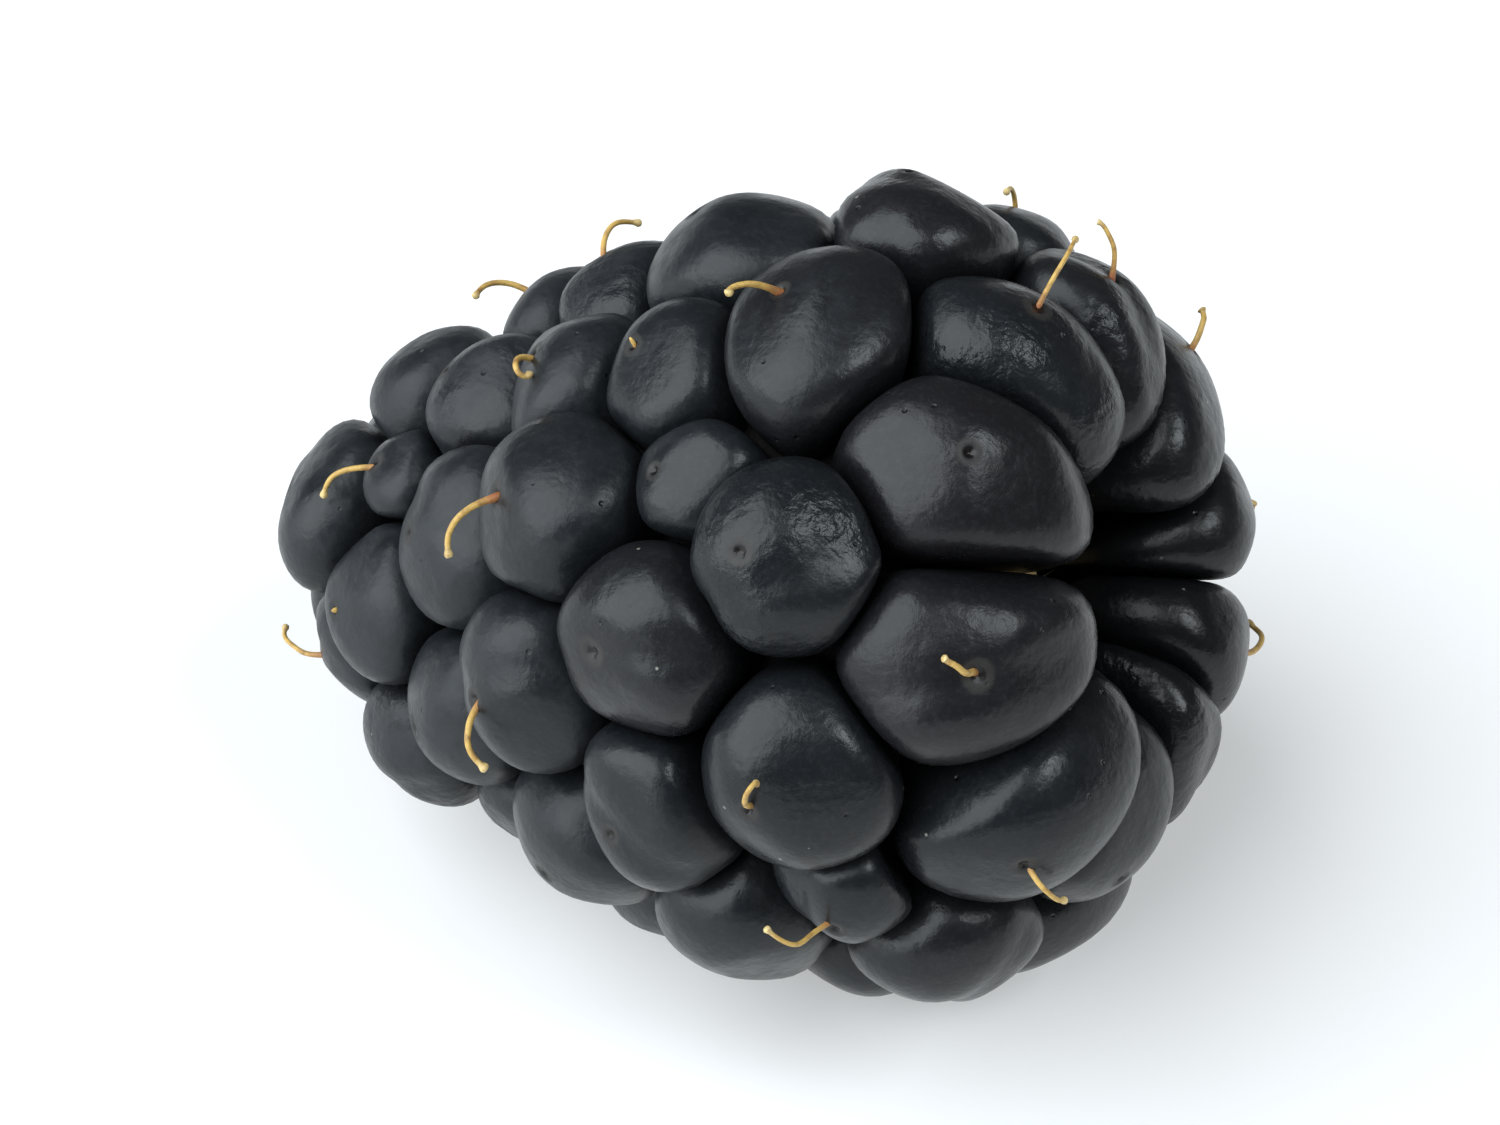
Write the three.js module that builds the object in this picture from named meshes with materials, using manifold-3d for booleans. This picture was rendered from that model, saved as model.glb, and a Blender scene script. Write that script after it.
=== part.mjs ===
// A ripe bramble berry, picked and lying on its side. Millimetres, +Z up.
// It rests on z = 0 under the middle of its box, with its stem end towards +X and its tip low, towards -X.
//
// The fruit is a head of drupelets, small round fruits packed round a pale receptacle. Each drupelet is an egg,
// pressed flat where its neighbours push against it, and many keep the dry style of their flower as a thread.
import * as THREE from "three";
import { mergeVertices } from "three/addons/utils/BufferGeometryUtils.js";
import Module from "manifold-3d";

// The envelope is the smooth surface that the drupelets' middles lie on. It is given as a distance from the berry's
// middle for each angle from the tip, as a cosine series, so the berry is a blunt cone that widens to its stem end.
const ENVELOPE = [11.27, -0.06, 2.07, 1.15, 0.39, 0.23, 0.23];
const STEM_ROW_ANGLE = 146; // degrees from the tip
const STEM_ROW_SLANT = 6; // degrees further from the tip on one side of the berry, and nearer to it on the other
const SLANT_KEPT = 0.6; // of each row's slant, by the next row towards the tip
const STEM_ROW_COUNT = 10;
const TIP_ROW_ANGLE = 10;
const WIDTH_AT_TIP = 4; // a drupelet's width
const WIDTH_AT_STEM = 5.1;
const ROW_PITCH = 0.9; // rows of drupelets nest, so they lie closer than a drupelet's width

// How much the drupelets differ, all drawn from one seeded sequence.
const SEED = 67;
const WIDTH_SPREAD = 0.13; // share of the width, either way
const RUNT_SHARE = 0.1; // of the drupelets, that stayed small
const RUNT_WIDTH = 0.7;
const STRETCH_SPREAD = 0.1; // some are longer along the berry, some round it
const LIFT_SPREAD = 0.45; // how far some stand out and some lie back, mm
const PACKING = 1.12; // distance that neighbours' middles strive for, as a share of their mean width
const SETTLING_STEPS = 60;
const NEIGHBOURS = 5; // the nearest ones, whose distance sets a drupelet's final width
const MOST_SWELL = 1.15;

// A drupelet's shape, as shares of its width.
const EGG_SIDE = 0.65;
const EGG_OUT = 0.57;
const EGG_STEM_ROW_SIDE = 0.72; // the stem row is longer along the berry, with nothing beside it there
const STEM_ROW_ROOT = 5; // the stem row's eggs reach in to the receptacle, mm
const SOFTNESS = 9; // a higher power gives flatter faces with sharper edges between them
const DENT_AT = 0.93; // a flat dent in the outer skin lies this far out, as a share of the egg

// The pale receptacle: its outline as distance along the axis, towards the stem, and radius.
const RECEPTACLE = [
  [-11, 0],
  [-10.7, 0.9],
  [-8.4, 1.6],
  [-1.8, 2.4],
  [3.8, 2.85],
  [6.9, 2.85],
  [7.5, 2.5],
  [7.2, 1.4],
  [7.5, 0.75],
  [7.5, 0],
];
const SOCKET_GAP = 0.3; // between the receptacle and the flesh round it
const FLESH_SINK = 0.5; // the flesh between the drupelets lies this far under their middles
const STEM_HOLLOW = 6.4; // the flesh's face in the hollow of the stem end, along the axis

// Styles, the threads that the flowers left.
const STYLE_SHARE = 0.46; // of the drupelets, that still hold theirs
const STYLE_RADIUS = 0.13;
const STYLE_KNOB_RADIUS = 0.22;
const STYLE_ROOT = 0.5; // how deep it is sunk
const STYLE_SHORTEST = 1.7;
const STYLE_LONGEST = 3.5;
const STYLE_LEAN = 15; // degrees from the drupelet's top, towards the tip
const STYLE_SPLAY = 130; // degrees, how far either way of the tip's direction it bends over
const STYLE_FLOOR_GAP = 2.6; // none starts lower than this, where the berry lies on it
const STYLE_END_GAP = 0.8; // and none ends lower than this

// How the berry lies.
const TIP_DOWN = 17.3; // degrees
const ROLL = 296.8; // degrees about the axis
const REST_HEIGHT = 11.38; // of the berry's middle over the surface, so that the lowest drupelets are pressed flat
const SHIFT_X = 1.515; // these bring the middle of the box over the origin
const SHIFT_Y = -0.175;

// Fineness of the faceted solids.
const DRUPELET_SIDES = 9;
const DRUPELET_RINGS = 6;
const STEM_ROW_RINGS = 8;
const RING_SPREAD = 1.15; // over 1 brings the rings closer together at the top, which shows
const FLESH_STEPS = 6;
const FLESH_SIDES = 12;
const RECEPTACLE_SIDES = 20;
const STYLE_SIDES = 3;
const STYLE_STEPS = 3;

const TURN = 2 * Math.PI;
const radians = THREE.MathUtils.degToRad;
const lerp = THREE.MathUtils.lerp;

const wasm = await Module();
wasm.setup();

// A seeded sequence of numbers from 0 to 1, so that every build gives the same berry.
function randomSequence(seed) {
  let state = seed >>> 0;
  return () => {
    state = (Math.imul(state, 1664525) + 1013904223) >>> 0;
    return state / 4294967296;
  };
}

// Distance from the berry's middle to the envelope, at an angle from the tip.
function envelopeRadius(angle) {
  return ENVELOPE.reduce((sum, share, k) => sum + share * Math.cos(k * angle), 0);
}

function envelopeSlope(angle) {
  return ENVELOPE.reduce((sum, share, k) => sum - share * k * Math.sin(k * angle), 0);
}

// The angle from the tip of a point given from the berry's middle.
function angleFromTip(point) {
  return Math.atan2(Math.hypot(point.y, point.z), -point.x);
}

// The point of the envelope at an angle from the tip and an angle round the axis.
function envelopePoint(angle, around) {
  const radius = envelopeRadius(angle);
  return new THREE.Vector3(
    -radius * Math.cos(angle),
    radius * Math.sin(angle) * Math.cos(around),
    radius * Math.sin(angle) * Math.sin(around),
  );
}

// The envelope's directions at a point: out of it, along it towards the stem, and round the axis.
function envelopeDirections(point) {
  const angle = angleFromTip(point);
  const around = Math.atan2(point.z, point.y);
  const radius = envelopeRadius(angle);
  const slope = envelopeSlope(angle);
  const forward = -slope * Math.cos(angle) + radius * Math.sin(angle);
  const outward = slope * Math.sin(angle) + radius * Math.cos(angle);
  const [c, s] = [Math.cos(around), Math.sin(around)];
  return {
    out: new THREE.Vector3(-outward, forward * c, forward * s).normalize(),
    along: new THREE.Vector3(forward, outward * c, outward * s).normalize(),
    around: new THREE.Vector3(0, -s, c),
  };
}

// The point of a row at an angle round the axis. The rows slant, less and less towards the tip.
function rowPoint(row, angle, around) {
  const slant = radians(STEM_ROW_SLANT) * SLANT_KEPT ** row;
  return envelopePoint(angle + slant * Math.cos(around), around);
}

function widthAt(angle) {
  return lerp(WIDTH_AT_TIP, WIDTH_AT_STEM, THREE.MathUtils.smoothstep(angle, 0, radians(STEM_ROW_ANGLE)));
}

// Rows from the stem end to the tip, each staggered against the last.
function rowsOfDrupelets(random) {
  const places = [];
  let angle = radians(STEM_ROW_ANGLE);
  for (let row = 0; angle > radians(TIP_ROW_ANGLE); row++) {
    const width = widthAt(angle);
    const radius = envelopeRadius(angle);
    const count = row ? Math.round((TURN * radius * Math.sin(angle)) / width) : STEM_ROW_COUNT;
    for (let k = 0; k < count; k++) {
      const small = random() < RUNT_SHARE && row > 0 ? RUNT_WIDTH : 1;
      const share = small * (1 + WIDTH_SPREAD * (2 * random() - 1));
      places.push({ row, width: width * share, at: rowPoint(row, angle, (TURN * (k + row / 2)) / count) });
    }
    angle -= (ROW_PITCH * width) / Math.hypot(radius, envelopeSlope(angle));
  }
  places.push({ row: -1, width: WIDTH_AT_TIP, at: envelopePoint(0, 0) });
  return places;
}

// Neighbours push each other along the envelope until each has room for its own width. The stem row stays in line.
function settle(places) {
  const push = new THREE.Vector3();
  for (let step = 0; step < SETTLING_STEPS; step++) {
    places.forEach((one, i) => {
      for (const other of places.slice(i + 1)) {
        const wanted = (PACKING * (one.width + other.width)) / 2;
        const apart = one.at.distanceTo(other.at);
        if (apart >= wanted) continue;
        push.subVectors(one.at, other.at).multiplyScalar((0.25 * (wanted - apart)) / apart);
        one.at.add(push);
        other.at.sub(push);
      }
    });
    for (const place of places) {
      const around = Math.atan2(place.at.z, place.at.y);
      if (place.row === 0) place.at.copy(rowPoint(0, radians(STEM_ROW_ANGLE), around));
      else place.at.copy(envelopePoint(angleFromTip(place.at), around));
    }
  }
}

// Each drupelet swells to fill its share of the distances to its nearest neighbours. The stem row keeps its size.
function swell(places) {
  const rooms = places.map((one) => {
    const others = places.filter((other) => other !== one);
    const shares = others.map((other) => (2 * one.at.distanceTo(other.at) * one.width) / (one.width + other.width));
    shares.sort((a, b) => a - b);
    return shares.slice(0, NEIGHBOURS).reduce((sum, share) => sum + share, 0) / NEIGHBOURS;
  });
  places.forEach((place, i) => {
    if (place.row !== 0) place.width = Math.min(rooms[i], MOST_SWELL * place.width);
  });
}

// Distance from an egg's middle to its shell. Its root end is longer in the stem row.
function eggDistance(drupelet, direction) {
  const out = direction.dot(drupelet.out);
  return 1 / Math.hypot(
    out / (out > 0 ? drupelet.outLength : drupelet.rootLength),
    direction.dot(drupelet.along) / drupelet.alongLength,
    direction.dot(drupelet.around) / drupelet.aroundLength,
  );
}

// Distance from a drupelet's middle to its skin: the egg, pressed back by its faces, with soft edges between them.
function skinDistance(drupelet, direction) {
  let sum = eggDistance(drupelet, direction) ** -SOFTNESS;
  for (const face of drupelet.faces) {
    const towards = direction.dot(face.normal);
    if (towards > 0) sum += (towards / face.distance) ** SOFTNESS;
  }
  return sum ** (-1 / SOFTNESS);
}

function makeDrupelets() {
  const random = randomSequence(SEED);
  const places = rowsOfDrupelets(random);
  settle(places);
  swell(places);
  const drupelets = places.map(({ row, width, at }) => {
    const directions = envelopeDirections(at);
    const lift = LIFT_SPREAD * (2 * random() - 1);
    const stretch = STRETCH_SPREAD * (2 * random() - 1);
    const side = row === 0 ? EGG_STEM_ROW_SIDE : EGG_SIDE;
    return {
      ...directions,
      row,
      width,
      middle: at.clone().addScaledVector(directions.out, lift),
      outLength: EGG_OUT * width,
      rootLength: row === 0 ? STEM_ROW_ROOT : EGG_OUT * width,
      alongLength: side * width * (1 + stretch),
      aroundLength: EGG_SIDE * width * (1 - stretch),
      faces: [],
    };
  });
  drupelets.forEach((one) => {
    for (const other of drupelets) {
      const apart = one.middle.distanceTo(other.middle);
      if (other === one || apart > one.width + other.width) continue;
      const normal = new THREE.Vector3().subVectors(other.middle, one.middle).normalize();
      const mine = eggDistance(one, normal);
      const theirs = eggDistance(other, normal.clone().negate());
      if (apart >= mine + theirs) continue;
      one.faces.push({ normal, distance: (apart + (mine ** 2 - theirs ** 2) / apart) / 2 });
    }
  });
  // One shallow flat on each outer skin, where the berries were packed against each other.
  for (const drupelet of drupelets) {
    const tilt = radians(lerp(15, 55, random()));
    const turn = TURN * random();
    const normal = drupelet.out.clone().multiplyScalar(Math.cos(tilt));
    normal.addScaledVector(drupelet.along, Math.sin(tilt) * Math.cos(turn));
    normal.addScaledVector(drupelet.around, Math.sin(tilt) * Math.sin(turn));
    drupelet.faces.push({ normal, distance: DENT_AT * eggDistance(drupelet, normal) });
  }
  return { drupelets, random };
}

// A closed geometry as a solid: only the positions count, and shared vertices are merged.
function solidOf(geometry) {
  const bare = geometry.clone();
  bare.deleteAttribute("normal");
  bare.deleteAttribute("uv");
  const merged = mergeVertices(bare, 1e-4);
  return new wasm.Manifold(
    new wasm.Mesh({
      numProp: 3,
      vertProperties: merged.attributes.position.array,
      triVerts: new Uint32Array(merged.index.array),
    }),
  );
}

function geometryOf(solid) {
  const mesh = solid.getMesh();
  const geometry = new THREE.BufferGeometry();
  geometry.setAttribute("position", new THREE.BufferAttribute(mesh.vertProperties, 3));
  geometry.setIndex(new THREE.BufferAttribute(mesh.triVerts, 1));
  geometry.computeVertexNormals();
  return geometry;
}

function drupeletSolid(drupelet) {
  const rings = drupelet.row === 0 ? STEM_ROW_RINGS : DRUPELET_RINGS;
  const spread = drupelet.row === 0 ? 1 : RING_SPREAD;
  const sphere = new THREE.SphereGeometry(1, DRUPELET_SIDES, rings);
  const position = sphere.getAttribute("position");
  const axes = new THREE.Matrix4().makeBasis(drupelet.along, drupelet.out, drupelet.around);
  const direction = new THREE.Vector3();
  const round = new THREE.Spherical();
  for (let i = 0; i < position.count; i++) {
    round.setFromVector3(direction.fromBufferAttribute(position, i));
    round.phi = Math.PI * (round.phi / Math.PI) ** spread;
    direction.setFromSpherical(round).applyMatrix4(axes);
    direction.multiplyScalar(skinDistance(drupelet, direction)).add(drupelet.middle);
    position.setXYZ(i, direction.x, direction.y, direction.z);
  }
  return solidOf(sphere);
}

// A solid of revolution about the berry's axis, from its outline along the axis.
function turnedSolid(outline, sides) {
  const points = outline.map(([along, radius]) => new THREE.Vector2(radius, along));
  return solidOf(new THREE.LatheGeometry(points, sides).rotateZ(-Math.PI / 2));
}

// The flesh between the drupelets: the envelope drawn in a little, as far as the stem row, and hollow there.
// A ball's rings become its rings, from the tip to the middle of the hollow.
function fleshSolid() {
  const rings = FLESH_STEPS + 2;
  const ball = new THREE.SphereGeometry(1, FLESH_SIDES, rings);
  const position = ball.getAttribute("position");
  const point = new THREE.Vector3();
  for (let i = 0; i < position.count; i++) {
    point.fromBufferAttribute(position, i);
    const ring = Math.round((Math.acos(THREE.MathUtils.clamp(point.y, -1, 1)) / Math.PI) * rings);
    const around = Math.atan2(point.z, point.x);
    if (ring <= FLESH_STEPS) {
      const slant = radians(STEM_ROW_SLANT) * Math.cos(around);
      const angle = ((radians(STEM_ROW_ANGLE) + slant) * ring) / FLESH_STEPS;
      const share = 1 - FLESH_SINK / envelopeRadius(angle);
      point.copy(envelopePoint(angle, around)).multiplyScalar(share);
    } else {
      const radius = ring === rings ? 0 : RECEPTACLE[5][1] + 1;
      point.set(STEM_HOLLOW, radius * Math.cos(around), radius * Math.sin(around));
    }
    position.setXYZ(i, point.x, point.y, point.z);
  }
  return solidOf(ball);
}

// The socket that the receptacle fills, open at the stem end.
function socketSolid() {
  const widest = RECEPTACLE.findIndex(([along]) => along > STEM_HOLLOW);
  const outline = RECEPTACLE.slice(0, widest).map(([along, radius], k) =>
    k === 0 ? [along - SOCKET_GAP, 0] : [along, radius + SOCKET_GAP],
  );
  const mouth = RECEPTACLE[widest][1] + SOCKET_GAP;
  const past = STEM_HOLLOW + 2;
  return turnedSolid([...outline, [past, mouth], [past, 0]], RECEPTACLE_SIDES);
}

// Whether a point lies inside any drupelet, or within a gap of one.
function isBuried(drupelets, point, gap) {
  const direction = new THREE.Vector3();
  return drupelets.some((drupelet) => {
    const apart = direction.subVectors(point, drupelet.middle).length();
    return apart < drupelet.width && apart < skinDistance(drupelet, direction.normalize()) + gap;
  });
}

// Where each kept style runs: up out of its drupelet, bent over, and clear of the drupelets it passes.
function makeStyles(drupelets, random) {
  const styles = [];
  for (const drupelet of drupelets) {
    const kept = random() < STYLE_SHARE;
    const lean = radians(STYLE_LEAN * (0.5 + random()));
    const splay = radians(STYLE_SPLAY * (2 * random() - 1));
    const length = lerp(STYLE_SHORTEST, STYLE_LONGEST, random());
    const droop = random();
    const top = drupelet.out.clone().multiplyScalar(Math.cos(lean));
    top.addScaledVector(drupelet.along, -Math.sin(lean)).normalize();
    const start = drupelet.middle.clone().addScaledVector(top, skinDistance(drupelet, top));
    const heading = drupelet.along.clone().multiplyScalar(-Math.cos(splay));
    heading.addScaledVector(drupelet.around, Math.sin(splay));
    if (!kept || inPlace(start).z < STYLE_FLOOR_GAP) continue;
    const bend = start.clone().addScaledVector(top, 0.45 * length).addScaledVector(heading, 0.3 * length);
    const end = start.clone().addScaledVector(heading, (0.6 + 0.3 * droop) * length);
    end.addScaledVector(top, (0.45 - 0.5 * droop) * length);
    for (const point of [bend, end]) {
      const away = point.clone().normalize().multiplyScalar(0.1);
      while (isBuried(drupelets, point, 2 * STYLE_RADIUS)) point.add(away);
    }
    if (inPlace(end).z < STYLE_END_GAP) continue;
    const root = start.clone().addScaledVector(top, -STYLE_ROOT);
    styles.push(new THREE.QuadraticBezierCurve3(root, bend, end));
  }
  return styles;
}

function styleSolid(curve) {
  const section = new THREE.Shape();
  for (let k = 0; k < STYLE_SIDES; k++) {
    const angle = (TURN * k) / STYLE_SIDES;
    const [x, y] = [STYLE_RADIUS * Math.cos(angle), STYLE_RADIUS * Math.sin(angle)];
    if (k) section.lineTo(x, y);
    else section.moveTo(x, y);
  }
  const thread = new THREE.ExtrudeGeometry(section, { steps: STYLE_STEPS, extrudePath: curve });
  const end = curve.getPoint(1);
  const knob = new THREE.OctahedronGeometry(STYLE_KNOB_RADIUS).translate(end.x, end.y, end.z);
  return solidOf(thread).add(solidOf(knob));
}

// The berry is modelled round its own axis and middle, and this lays it down on its side.
const lying = new THREE.Matrix4().makeTranslation(SHIFT_X, SHIFT_Y, REST_HEIGHT);
lying.multiply(new THREE.Matrix4().makeRotationY(-radians(TIP_DOWN)));
lying.multiply(new THREE.Matrix4().makeRotationX(radians(ROLL)));

function inPlace(point) {
  return point.clone().applyMatrix4(lying);
}

function drupeletsGeometry() {
  const { drupelets, random } = makeDrupelets();
  let solid = fleshSolid();
  for (const drupelet of drupelets) solid = solid.add(drupeletSolid(drupelet));
  for (const style of makeStyles(drupelets, random)) solid = solid.add(styleSolid(style));
  solid = solid.subtract(socketSolid());
  const laid = geometryOf(solid).applyMatrix4(lying);
  const under = new THREE.BoxGeometry(60, 60, 10).translate(0, 0, -5);
  return geometryOf(solidOf(laid).subtract(solidOf(under)));
}

const skin = new THREE.MeshStandardMaterial({ color: 0x15171c, roughness: 0.35, metalness: 0 });
const pith = new THREE.MeshStandardMaterial({ color: 0xb99a5e, roughness: 0.75, metalness: 0 });

const drupelets = new THREE.Mesh(drupeletsGeometry(), skin);
drupelets.name = "drupelets";

const receptacle = new THREE.Mesh(geometryOf(turnedSolid(RECEPTACLE, RECEPTACLE_SIDES)), pith);
receptacle.name = "receptacle";
receptacle.applyMatrix4(lying);

const berry = new THREE.Group();
berry.name = "berry";
berry.add(drupelets, receptacle);

export default berry;
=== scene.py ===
# A ripe bramble berry on a pale floor. The berry's plan repeats the part's: millimetres in the
# berry's own frame, with the axis along X and the tip towards -X, then laid on its side and scaled
# to metres.
import math

import bpy
import numpy as np
from mathutils import Matrix, Vector


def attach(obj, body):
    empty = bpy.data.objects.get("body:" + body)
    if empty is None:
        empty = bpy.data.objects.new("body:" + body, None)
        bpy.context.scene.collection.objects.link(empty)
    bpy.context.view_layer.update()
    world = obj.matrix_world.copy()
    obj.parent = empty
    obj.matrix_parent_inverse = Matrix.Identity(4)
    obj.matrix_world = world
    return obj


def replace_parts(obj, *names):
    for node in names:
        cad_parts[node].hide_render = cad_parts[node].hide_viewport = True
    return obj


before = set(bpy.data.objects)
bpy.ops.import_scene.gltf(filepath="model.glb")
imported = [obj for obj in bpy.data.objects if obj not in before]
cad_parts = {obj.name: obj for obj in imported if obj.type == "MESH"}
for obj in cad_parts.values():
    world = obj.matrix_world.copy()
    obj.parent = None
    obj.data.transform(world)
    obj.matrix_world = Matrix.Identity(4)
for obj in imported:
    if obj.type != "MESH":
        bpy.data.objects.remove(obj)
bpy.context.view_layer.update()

# The part's own values, in millimetres, degrees and shares of a drupelet's size.

# The envelope that the drupelets stand on: its radius, as cosines of the angle from the tip.
ENVELOPE = [11.27, -0.06, 2.07, 1.15, 0.39, 0.23, 0.23]

# The rows of drupelets, from the stem end to the tip.
STEM_ROW_ANGLE = 146
STEM_ROW_SLANT = 6
SLANT_KEPT = 0.6
STEM_ROW_COUNT = 10
TIP_ROW_ANGLE = 10
WIDTH_AT_TIP = 4
WIDTH_AT_STEM = 5.1
ROW_PITCH = 0.9
SEED = 67
WIDTH_SPREAD = 0.13
RUNT_SHARE = 0.1
RUNT_WIDTH = 0.7
STRETCH_SPREAD = 0.1
LIFT_SPREAD = 0.45

# How the drupelets settle, swell and press on each other.
PACKING = 1.12
SETTLING_STEPS = 60
NEIGHBOURS = 5
MOST_SWELL = 1.15
EGG_SIDE = 0.65
EGG_OUT = 0.57
EGG_STEM_ROW_SIDE = 0.72
STEM_ROW_ROOT = 5
SOFTNESS = 9
DENT_AT = 0.93
DENT_TILT = (15, 55)

# The flesh between them, the hollow of the stem end, and the receptacle's outline.
SOCKET_GAP = 0.3
FLESH_SINK = 0.5
STEM_HOLLOW = 6.4
RECEPTACLE = [
    (-11, 0), (-10.7, 0.9), (-8.4, 1.6), (-1.8, 2.4),
    (3.8, 2.85), (6.9, 2.85), (7.5, 2.5), (7.2, 1.4),
]

# The dry styles.
STYLE_SHARE = 0.46
STYLE_RADIUS = 0.13
STYLE_ROOT = 0.5
STYLE_SHORTEST = 1.7
STYLE_LONGEST = 3.5
STYLE_LEAN = 15
STYLE_SPLAY = 130
STYLE_FLOOR_GAP = 2.6
STYLE_END_GAP = 0.8

# How the berry lies.
TIP_DOWN = 17.3
ROLL = 296.8
REST_HEIGHT = 11.38
SHIFT_X = 1.515
SHIFT_Y = -0.175

# What only the render shows, in millimetres and shares of a drupelet's size.

# The skins' mesh. Each ring's angle is taken from the root of the style, in degrees.
SKIN_SECTORS = 52
SKIN_RINGS = [
    1.4, 3, 4.7, 6.6, 9, 12, 16, 21, 27, 33, 39, 45, 51.5,
    58, 64.5, 71, 77.5, 84, 90.5, 97, 104, 112, 122, 135, 154,
]

# The skins' small flats, waists and low lumps.
FLATS = 3
FLAT_SPREAD = 0.75
FLAT_REACH = (0.935, 0.985)
FLAT_SOFTNESS = 16
WAIST_SHARE = 0.3
WAIST_DEPTH = 0.045
WAIST_WIDTH = 0.22
LUMPS = 6
LUMP_HEIGHT = 0.015

# The pit that each style left, with its rim, in a wider dimple.
PIT_DEPTH = 0.14
PIT_RADIUS = 0.16
RIM_HEIGHT = 0.014
RIM_RADIUS = 0.34
RIM_WIDTH = 0.1
DIMPLE_DEPTH = 0.08
DIMPLE_RADIUS = 0.7

# The inner flesh. It lies deeper than the part's, so that only the deepest creases show it.
EXTRA_SINK = 0.5
FLESH_SIDES = 96
FLESH_STEPS = 32
LIP_STEPS = 10
FLESH_ROUGHNESS = 0.03

# The receptacle's torn end.
CORE_SIDES = 72
CORE_STEPS = 4
END_RIDGES = (5, 7, 11, 17, 23)

# The styles' threads, and the stubs of those that broke off.
CURLED_SHARE = 0.35
STYLE_SIDES = 9
STUB_SHARE = 0.3
STUB_SIDES = 8
STUB_TAPER = np.array([1, 1, 0.95, 0.9, 0.8, 0.4])

# The hairs round the receptacle.
HAIRS = 110
HAIR_SIDES = 5
HAIR_RADIUS = 0.024

TURN = 2 * math.pi
MM = 0.001


def random_sequence(seed):
    state = [seed]

    def draw():
        state[0] = (state[0] * 1664525 + 1013904223) & 0xFFFFFFFF
        return state[0] / 4294967296

    return draw


def lerp(a, b, t):
    return a + (b - a) * t


def smoothstep(x, low, high):
    t = np.clip((x - low) / (high - low), 0, 1)
    return t * t * (3 - 2 * t)


def unit(v):
    v = np.asarray(v, float)
    return v / np.linalg.norm(v, axis=-1, keepdims=True)


def envelope_radius(angle):
    return sum(share * math.cos(k * angle) for k, share in enumerate(ENVELOPE))


def envelope_slope(angle):
    return -sum(share * k * math.sin(k * angle) for k, share in enumerate(ENVELOPE))


def angle_from_tip(point):
    return math.atan2(math.hypot(point[1], point[2]), -point[0])


def envelope_point(angle, around):
    radius = envelope_radius(angle)
    side = radius * math.sin(angle)
    return [-radius * math.cos(angle), side * math.cos(around), side * math.sin(around)]


def envelope_directions(point):
    """Out of the envelope, along it towards the stem, and round the axis."""
    angle, around = angle_from_tip(point), math.atan2(point[2], point[1])
    radius, slope = envelope_radius(angle), envelope_slope(angle)
    forward = -slope * math.cos(angle) + radius * math.sin(angle)
    outward = slope * math.sin(angle) + radius * math.cos(angle)
    c, s = math.cos(around), math.sin(around)
    out = unit([-outward, forward * c, forward * s])
    along = unit([forward, outward * c, outward * s])
    return out, along, np.array([0, -s, c])


def row_point(row, angle, around):
    """A row's point at an angle round the axis. The rows slant, less and less towards the tip."""
    slant = math.radians(STEM_ROW_SLANT) * SLANT_KEPT**row
    return envelope_point(angle + slant * math.cos(around), around)


def rows_of_drupelets(draw):
    places, angle, row = [], math.radians(STEM_ROW_ANGLE), 0
    while angle > math.radians(TIP_ROW_ANGLE):
        t = min(1, max(0, angle / math.radians(STEM_ROW_ANGLE)))
        width = lerp(WIDTH_AT_TIP, WIDTH_AT_STEM, t * t * (3 - 2 * t))
        radius = envelope_radius(angle)
        count = math.floor(TURN * radius * math.sin(angle) / width + 0.5) if row else STEM_ROW_COUNT
        for k in range(count):
            small = RUNT_WIDTH if draw() < RUNT_SHARE and row > 0 else 1
            share = small * (1 + WIDTH_SPREAD * (2 * draw() - 1))
            places.append([row, width * share, row_point(row, angle, TURN * (k + row / 2) / count)])
        angle -= ROW_PITCH * width / math.hypot(radius, envelope_slope(angle))
        row += 1
    places.append([-1, WIDTH_AT_TIP, envelope_point(0, 0)])
    return places


def settle(places):
    for _ in range(SETTLING_STEPS):
        for i, (_, width, a) in enumerate(places):
            for _, other, b in places[i + 1 :]:
                wanted = PACKING * (width + other) / 2
                dx, dy, dz = a[0] - b[0], a[1] - b[1], a[2] - b[2]
                apart = math.sqrt(dx * dx + dy * dy + dz * dz)
                if apart >= wanted:
                    continue
                push = 0.25 * (wanted - apart) / apart
                for k, d in enumerate((dx, dy, dz)):
                    a[k] += d * push
                    b[k] -= d * push
        for place in places:
            at = place[2]
            around = math.atan2(at[2], at[1])
            if place[0] == 0:
                at[:] = row_point(0, math.radians(STEM_ROW_ANGLE), around)
            else:
                at[:] = envelope_point(angle_from_tip(at), around)


def swell(places):
    rooms = []
    for i, (_, width, at) in enumerate(places):
        others = [(other, b) for j, (_, other, b) in enumerate(places) if j != i]
        shares = sorted(2 * math.dist(at, b) * width / (width + other) for other, b in others)
        rooms.append(sum(shares[:NEIGHBOURS]) / NEIGHBOURS)
    for place, room in zip(places, rooms):
        if place[0] != 0:
            place[1] = min(room, MOST_SWELL * place[1])


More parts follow.
